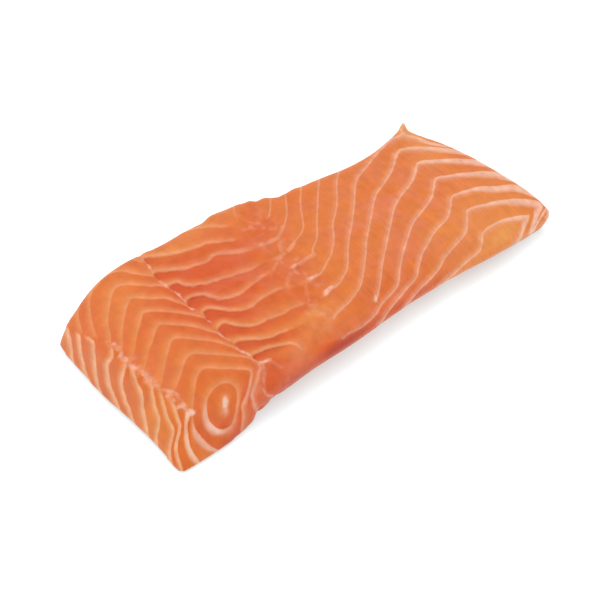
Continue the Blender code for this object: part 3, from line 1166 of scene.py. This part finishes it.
@dataclass(frozen=True)
class SkinPoints:
    """The skin's points, and where the eye sees them; ridge, seam and trough are signed distances."""

    places: np.ndarray
    normals: np.ndarray
    spots: np.ndarray
    facing: np.ndarray
    ridge: np.ndarray
    seam: np.ndarray
    trough: np.ndarray

    @classmethod
    def read(cls, mesh: bpy.types.Mesh, plane: ViewingPlane) -> SkinPoints:
        """Reads a mesh's points.

        Args:
            mesh: The skin's mesh.
            plane: The picture plane.

        Returns:
            The points.
        """
        rows = []
        for name in ("co", "normal"):
            row = np.zeros(len(mesh.vertices) * 3, np.float32)
            mesh.vertices.foreach_get(name, row)
            rows.append(row.reshape(-1, 3).astype(float))
        places, normals = rows
        spots = plane.project(places)
        borders = (side_of(border, spots) for border in (RIDGE, SEAM, TROUGH))
        return cls(places, normals, spots, normals @ np.array(-plane.forward()), *borders)

    def muscles(self) -> dict[Muscle, np.ndarray]:
        """Tells which points lie in which muscle.

        Returns:
            One row of yes or no for each muscle.
        """
        end_cut = self.ridge > 0
        loin = ~end_cut & (self.seam > 0)
        flakes = ~end_cut & ~loin & (self.trough > 0)
        belly = ~end_cut & ~loin & ~flakes
        return {Muscle.END_CUT: end_cut, Muscle.LOIN: loin, Muscle.FLAKES: flakes, Muscle.BELLY: belly}


@dataclass(frozen=True)
class FleshMap:
    """Works out what the skin's points carry: lines, colours and forms.

    The spans are in picture units, except those of the slope, the side's length and the height.
    """

    thin_end: Span = (330, 430)
    fibred: Span = (300, 380)
    long_lines: Span = (290, 350)
    hazed_behind: Span = (300, 350)
    corner_turn: Span = (-5, 5)
    trough_bank: Span = (1, 14)
    ridge_edge: Span = (0.3, 3.0)
    foot_edge: Span = (1.2, 2.6)
    foot: Span = (424, 434)
    seam_edge: Span = (0.2, 1.6)
    flake_mouth: Span = (18, 2)
    loin_back: Span = (6, 40)
    cut_edge: Span = (-6, 6)
    seen: Span = (-0.15, 0.15)
    shaped: Span = (-0.5, 0.0)
    side_slope: Span = (0.15, 0.6)
    end_slope: Span = (0.6, 0.0)
    side_start: Span = (-0.055, -0.030)
    side_end: Span = (0.075, 0.045)
    rough_height: Span = (0.0005, 0.003)
    shaped_height: Span = (0.0, 0.002)
    nick_height: Span = (0.009, 0.002)
    tip_slope: Span = (0.3, 0.8)
    seam_tissue: Span = (2.8, 0.8)
    seam_front: Span = (362, 372)
    ridge_tissue: Span = (90, 116)
    ridge_front: Span = (420, 408)
    thread_edge: Span = (1.0, 0.3)
    pocket_top: Span = (0.0, 0.08)
    pocket_foot: Span = (0.65, 0.15)
    line_reach: float = 40
    red_reach: float = 22
    broad_full: float = 4
    broad_strength: float = 0.22
    broad_loin_strength: float = 0.70
    thin_end_strength: float = 0.15
    thin_end_haze: float = 0.20
    corner_haze_loss: float = 0.8
    corner_haze_behind: float = 0.48
    mouth_loss: float = 0.9
    least_flake_strength: float = 0.6
    least_loin_strength: float = 0.55
    least_belly_strength: float = 0.68
    least_flake_tone: float = 0.35
    least_fibres: float = 0.4
    seam_tissue_amount: float = 0.46
    seam_tissue_in_front: float = 0.6
    ridge_tissue_amount: float = 0.48
    ridge_tissue_offset: float = 1.0
    ridge_tissue_reach: float = 6.5
    # Redness on the front side wall, which faces away from the light: painted shade
    front_side_shade: float = 0.40
    cut_redness: float = 0.15
    usual_film: float = 0.10
    pocket_reach: float = 26
    pocket_depth: float = 0.00050
    flake_depth: float = 0.00012
    seam_depth: float = 0.00030
    seam_width: float = 2
    thread_height: float = 0.00012
    millimetre: float = 0.001

    def lines(self, skin: SkinPoints) -> dict[str, np.ndarray]:
        """Reads the fat lines at the points.

        Args:
            skin: The points.

        Returns:
            What the finish and the relief read, by name, one number per point.
        """
        count = len(skin.spots)
        muscles = skin.muscles()
        phase, gap = np.zeros(count), np.ones(count)
        style = {field.name: np.zeros(count) for field in fields(LineStyle)}
        for run in (END_CUT_LINES, LOIN_LINES, FLAKE_LINES, BELLY_LINES):
            mask = muscles[run.muscle]
            reading = run.read(skin.spots[mask])
            phase[mask], gap[mask] = reading.phase, reading.gap
            for name, value in asdict(run.style).items():
                style[name][mask] = value
            style["strength"][mask] *= reading.presence
        broad = total(BROAD_LINES, skin.spots)
        broadness = np.clip(broad / self.broad_full, 0, 1)
        style["width"] += broad
        self._vary(style, skin, muscles, broadness)
        white = (muscles[Muscle.LOIN] | muscles[Muscle.END_CUT]) * broadness
        turn = 2 * math.pi * phase
        return {f"line_{name}": values for name, values in style.items()} | {
            "line_cos": np.cos(turn), "line_sin": np.sin(turn), "line_gap": gap, "line_white": white,
        }

    def _vary(self, style: dict, skin: SkinPoints, muscles: dict, broadness: np.ndarray) -> None:
        """Varies the lines' looks over the muscles, and lets them end at the borders.

        Args:
            style: The lines' looks by name, which are changed.
            skin: The points.
            muscles: Which points lie in which muscle.
            broadness: How broad the lines are, from 0 to 1.
        """
        across, down = skin.spots.T
        ridge, seam, trough = np.abs(skin.ridge), np.abs(skin.seam), np.abs(skin.trough)
        loin, flakes, belly = muscles[Muscle.LOIN], muscles[Muscle.FLAKES], muscles[Muscle.BELLY]
        thin_end = smoothstep(*self.thin_end, across) * belly
        near_seam = bell(seam, self.line_reach)
        mouth = smoothstep(*self.flake_mouth, seam)
        foot = smoothstep(*self.foot, down)
        strength = style["strength"]
        strength += self.thin_end_strength * thin_end
        strength += np.where(loin, self.broad_loin_strength, self.broad_strength) * broadness
        strength *= 1 - np.clip(total(LOST_LINES, skin.spots), 0, 1)
        loin_side = smoothstep(*self.ridge_edge, ridge)
        strength *= loin_side * (1 - foot) + smoothstep(*self.foot_edge, ridge) * foot
        strength *= smoothstep(*self.seam_edge, seam)
        by_the_seam = near_seam * (1 - self.mouth_loss * mouth)
        for where, least, share in (
            (flakes, self.least_flake_strength, by_the_seam),
            (loin, self.least_loin_strength, smoothstep(*self.loin_back, ridge)),
            (belly, self.least_belly_strength, smoothstep(*self.long_lines, across)),
        ):
            strength *= np.where(where, at_least(least, share), 1)
        running_down = smoothstep(*self.corner_turn, side_of(CORNERS, skin.spots)) * belly
        style["haze"] += self.thin_end_haze * thin_end
        style["haze"] *= 1 - self.corner_haze_loss * running_down
        hazed_behind = running_down * smoothstep(*self.hazed_behind, across)
        style["behind"] += self.corner_haze_behind * hazed_behind
        style["tone"] *= np.where(flakes | belly, smoothstep(*self.trough_bank, trough), 1)
        style["tone"] *= np.where(flakes, at_least(self.least_flake_tone, near_seam), 1)

    def threads(self, skin: SkinPoints) -> np.ndarray:
        """Lays the threads of fat over the points.

        Args:
            skin: The points.

        Returns:
            The threads' amount, one per point.
        """
        threads = np.zeros(len(skin.spots))
        for thread in THREADS:
            away = measure(thread.points, skin.spots)[0] / thread.width
            threads = np.maximum(threads, thread.amount * smoothstep(*self.thread_edge, away))
        return threads

    def tissue(self, skin: SkinPoints, end_cut: np.ndarray, seen: np.ndarray) -> np.ndarray:
        """Gives how much white tissue lies on each point: by the seam, the ridge and in knots.

        Args:
            skin: The points.
            end_cut: Which points lie on the thick end's cut face.
            seen: How far the eye sees each point, from 0 to 1.

        Returns:
            The tissue's amount, one per point.
        """
        across, down = skin.spots.T
        by_seam = self.seam_tissue_amount * smoothstep(*self.seam_tissue, np.abs(skin.seam)) * ~end_cut
        by_seam *= at_least(self.seam_tissue_in_front, smoothstep(*reversed(self.seam_front), down))
        by_ridge = bell(skin.ridge + self.ridge_tissue_offset, self.ridge_tissue_reach)
        by_ridge *= self.ridge_tissue_amount
        by_ridge *= smoothstep(*self.ridge_tissue, across) * smoothstep(*self.ridge_front, down)
        return np.maximum(np.maximum(by_seam, by_ridge), total(TISSUE_PATCHES, skin.spots) * seen)

    def colours(self, skin: SkinPoints) -> dict[str, np.ndarray]:
        """Reads the flesh's colours at the points.

        Args:
            skin: The points.

        Returns:
            What the finish and the relief read, by name, one number per point.
        """
        muscles = skin.muscles()
        end_cut, flakes = muscles[Muscle.END_CUT], muscles[Muscle.FLAKES]
        seen = smoothstep(*self.seen, skin.facing)
        cut = smoothstep(*self.cut_edge, skin.ridge)
        along = skin.places[:, 0]
        # The front side wall, which faces away from the light, is made redder and darker toward the deep
        # colour: painted shade
        front_side = smoothstep(*self.side_slope, -skin.normals[:, 1])
        front_side *= smoothstep(*self.end_slope, np.abs(skin.normals[:, 0]))
        front_side *= smoothstep(*self.side_start, along) * smoothstep(*self.side_end, along)
        red, pale, film, blood, torn = (
            total(patches, skin.spots) * seen
            for patches in (RED_PATCHES, PALE_PATCHES, FILM_PATCHES, BLOOD_AND_SHADE_PATCHES, TORN_PATCHES)
        )
        return {
            "redness": red * ~end_cut + self.front_side_shade * front_side + self.cut_redness * cut,
            "paleness": pale,
            "film": film + self.usual_film * (1 - cut),
            "blood": blood,
            "cut": cut,
            "near_seam": bell(skin.seam, self.red_reach) * flakes,
            "torn": torn,
            "tissue": self.tissue(skin, end_cut, seen),
            "threads": self.threads(skin) * seen,
            "fibre_share": at_least(self.least_fibres, smoothstep(*self.fibred, skin.spots[:, 0])),
            "relief_share": smoothstep(*self.rough_height, skin.places[:, 2]),
        }

    def raised(self, skin: SkinPoints, lines: dict[str, np.ndarray], plane: ViewingPlane) -> np.ndarray:
        """Raises and sinks the flakes, the seam, the trough, the tip and the nicks.

        Args:
            skin: The points.
            lines: The lines at the points, by name.
            plane: The picture plane.

        Returns:
            The points' new places, one row each.
        """
        muscles = skin.muscles()
        below = -np.arctan2(lines["line_sin"], lines["line_cos"]) / (2 * math.pi) % 1.0
        pocket = smoothstep(*self.pocket_top, below) * smoothstep(*self.pocket_foot, below)
        pocket *= muscles[Muscle.FLAKES] * smoothstep(*self.trough_bank, np.abs(skin.trough))
        near_seam = bell(skin.seam, self.pocket_reach)
        in_seam = bell(skin.seam, self.seam_width) * ~muscles[Muscle.END_CUT]
        rise = -pocket * (self.pocket_depth * near_seam + self.flake_depth) - self.seam_depth * in_seam
        rise += total(FORMS, skin.spots) * self.millimetre + self.thread_height * self.threads(skin)
        rise *= smoothstep(*self.shaped, skin.facing) * smoothstep(*self.shaped_height, skin.places[:, 2])
        places = skin.places + skin.normals * rise[:, None]
        tip = TIP.share(skin.spots) * smoothstep(*self.tip_slope, skin.normals[:, 2])
        places[:, 2] += tip * self.millimetre
        for nick in NICKS:
            away = places[:, :2] - plane.place_at(nick.spot, self.millimetre)[:2]
            near = np.exp(-np.sum((away / nick.reach) ** 2, axis=1))
            places[:, 1] += nick.depth * near * smoothstep(*self.nick_height, places[:, 2])
        return places


@dataclass(frozen=True)
class Portion:
    """The portion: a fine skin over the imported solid, with its lines, colours and relief."""

    node: str = "salmon_portion"
    slot: str = "salmon_flesh"
    voxel: float = 0.00085
    rounding: int = 4
    regained: float = 0.00030
    flattened: float = 0.00012
    fine_facing: float = -0.10
    lowest_fine: float = -0.5
    weld: float = 1e-5
    joined_slope: float = 0.7
    joined_skew: float = 0.9
    plane: ViewingPlane = ViewingPlane()
    flesh_map: FleshMap = FleshMap()

    def _rounded_copy(self, solid: bpy.types.Object) -> bpy.types.Object:
        """Copies the solid, without facets.

        Args:
            solid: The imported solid.

        Returns:
            A new object with a closed, rounded mesh.
        """
        skin = bmesh.new()
        skin.from_mesh(solid.data)
        bmesh.ops.remove_doubles(skin, verts=list(skin.verts), dist=self.weld)
        bottom = [f for f in skin.faces if all(v.co.z < self.weld for v in f.verts)]
        bmesh.ops.delete(skin, geom=bottom, context="FACES")
        bmesh.ops.join_triangles(
            skin,
            faces=list(skin.faces),
            angle_face_threshold=self.joined_slope,
            angle_shape_threshold=self.joined_skew,
        )
        mesh = bpy.data.meshes.new("skin")
        skin.to_mesh(mesh)
        skin.free()
        piece = bpy.data.objects.new("skin", mesh)
        bpy.context.scene.collection.objects.link(piece)
        smooth = piece.modifiers.new("smooth", "SUBSURF")
        smooth.levels = smooth.render_levels = 1
        mesh = baked(piece)
        skin = bmesh.new()
        skin.from_mesh(mesh)
        bmesh.ops.holes_fill(skin, edges=[e for e in skin.edges if e.is_boundary])
        skin.to_mesh(mesh)
        skin.free()
        piece.data = mesh
        remesh = piece.modifiers.new("remesh", "REMESH")
        remesh.mode = "VOXEL"
        remesh.voxel_size = self.voxel
        piece.data = baked(piece)
        return piece

    @staticmethod
    def _smooth(skin: bmesh.types.BMesh) -> None:
        """Evens out a skin once."""
        every_way = {"use_axis_x": True, "use_axis_y": True, "use_axis_z": True}
        bmesh.ops.smooth_vert(skin, verts=list(skin.verts), factor=0.5, **every_way)

    def _refine(self, piece: bpy.types.Object) -> None:
        """Smooths the skin and divides what shows most again.

        Args:
            piece: The piece, whose mesh is changed.
        """
        skin = bmesh.new()
        skin.from_mesh(piece.data)
        for _ in range(self.rounding):
            self._smooth(skin)
        skin.normal_update()
        toward = -self.plane.forward()
        edges = set()
        for face in skin.faces:
            if face.normal.dot(toward) > self.fine_facing and face.normal.z > self.lowest_fine:
                edges.update(face.edges)
        bmesh.ops.subdivide_edges(skin, edges=list(edges), cuts=1, use_grid_fill=True)
        self._smooth(skin)
        bmesh.ops.triangulate(skin, faces=list(skin.faces))
        skin.normal_update()
        for vert in skin.verts:
            vert.co += vert.normal * self.regained
        low = min(v.co.z for v in skin.verts)
        for vert in skin.verts:
            vert.co.z = max(0.0, vert.co.z - low - self.flattened)
        skin.to_mesh(piece.data)
        skin.free()

    def _dress_points(self, mesh: bpy.types.Mesh) -> None:
        """Stores the lines, colours and relief shares on the skin's points, and raises its forms.

        Args:
            mesh: The skin's mesh.
        """
        skin = SkinPoints.read(mesh, self.plane)
        lines = self.flesh_map.lines(skin)
        for name, values in (lines | self.flesh_map.colours(skin)).items():
            attribute = mesh.attributes.new(name, "FLOAT", "POINT")
            attribute.data.foreach_set("value", values.astype(np.float32))
        places = self.flesh_map.raised(skin, lines, self.plane)
        mesh.vertices.foreach_set("co", places.astype(np.float32).ravel())
        mesh.update()

    def build(self, frame: dict) -> bpy.types.Object:
        """Builds the portion's piece over its node.

        Args:
            frame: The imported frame.

        Returns:
            The finished piece.
        """
        piece = self._rounded_copy(frame["nodes"][self.node])
        self._refine(piece)
        self._dress_points(piece.data)
        finish = FleshFinish()
        piece.data = FleshRelief().apply(piece, finish.build())
        piece.data.shade_smooth()
        piece.name = piece.data.name = finish.name
        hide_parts(self.node)
        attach(piece, "root")
        return piece


@dataclass(frozen=True)
class Studio:
    """The pale floor and the soft light."""

    floor_side: float = 3.0
    floor_colour: Colour = (0.37, 0.50, 0.54, 1.0)
    floor_roughness: float = 0.9
    floor_specular: float = 0.1
    floor_glow: float = 0.83
    foot_shadow: float = 0.46
    foot_shadow_reach: float = 0.008
    sky_strength: float = 0.95
    key_power: float = 4.6
    key_side: float = 0.9
    key_place: tuple[float, float, float] = (-0.15, 0.25, 1.25)
    white: Colour = (1.0, 1.0, 1.0, 1.0)

    def _floor_finish(self) -> bpy.types.Material:
        """Builds the floor's material, whose glow is dimmed close to the portion's foot, a painted shadow,
        so it is darkest there.

        Returns:
            The material.
        """
        material = bpy.data.materials.new("floor")
        material.use_nodes = True
        tree = NodeWriter(material.node_tree)
        surface = material.node_tree.nodes["Principled BSDF"].inputs
        # The glow dims where the portion's foot shuts out the open air: a painted shadow
        open_air = tree.add("ShaderNodeAmbientOcclusion")
        open_air.inputs["Distance"].default_value = self.foot_shadow_reach
        glow = tree.times(open_air.outputs["AO"], self.foot_shadow)
        tree.feed(tree.plus(glow, self.floor_glow - self.foot_shadow), surface["Emission Strength"])
        surface["Base Color"].default_value = self.floor_colour
        surface["Roughness"].default_value = self.floor_roughness
        surface["Specular IOR Level"].default_value = self.floor_specular
        surface["Emission Color"].default_value = self.white
        return material

    def build(self) -> None:
        """Builds the floor, the light and the surroundings."""
        side = self.floor_side / 2
        mesh = bpy.data.meshes.new("floor")
        corners = [(-side, -side, 0), (side, -side, 0), (side, side, 0), (-side, side, 0)]
        mesh.from_pydata(corners, [], [(0, 1, 2, 3)])
        mesh.materials.append(self._floor_finish())
        floor = bpy.data.objects.new("floor", mesh)
        bpy.context.scene.collection.objects.link(floor)

        data = bpy.data.lights.new("key", "AREA")
        data.energy = self.key_power
        data.size = self.key_side
        key = bpy.data.objects.new("key", data)
        key.location = self.key_place
        key.rotation_mode = "QUATERNION"
        key.rotation_quaternion = (-Vector(self.key_place)).to_track_quat("-Z", "Y")
        bpy.context.scene.collection.objects.link(key)

        world = bpy.data.worlds.new("surroundings")
        world.use_nodes = True
        sky = world.node_tree.nodes["Background"].inputs
        sky["Color"].default_value = self.white
        sky["Strength"].default_value = self.sky_strength
        bpy.context.scene.world = world
        bpy.context.scene.view_settings.view_transform = "Standard"


def main() -> None:
    """Builds the portion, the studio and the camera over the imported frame."""
    logging.basicConfig(level=logging.INFO, format="%(name)s: %(message)s")
    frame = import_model()
    portion = Portion()
    portion.plane.add_camera()
    piece = portion.build(frame)
    LOG.info("%s: %d triangles", piece.name, len(piece.data.polygons))
    Studio().build()
    LOG.info("studio built")


if __name__ == "__main__":
    main()
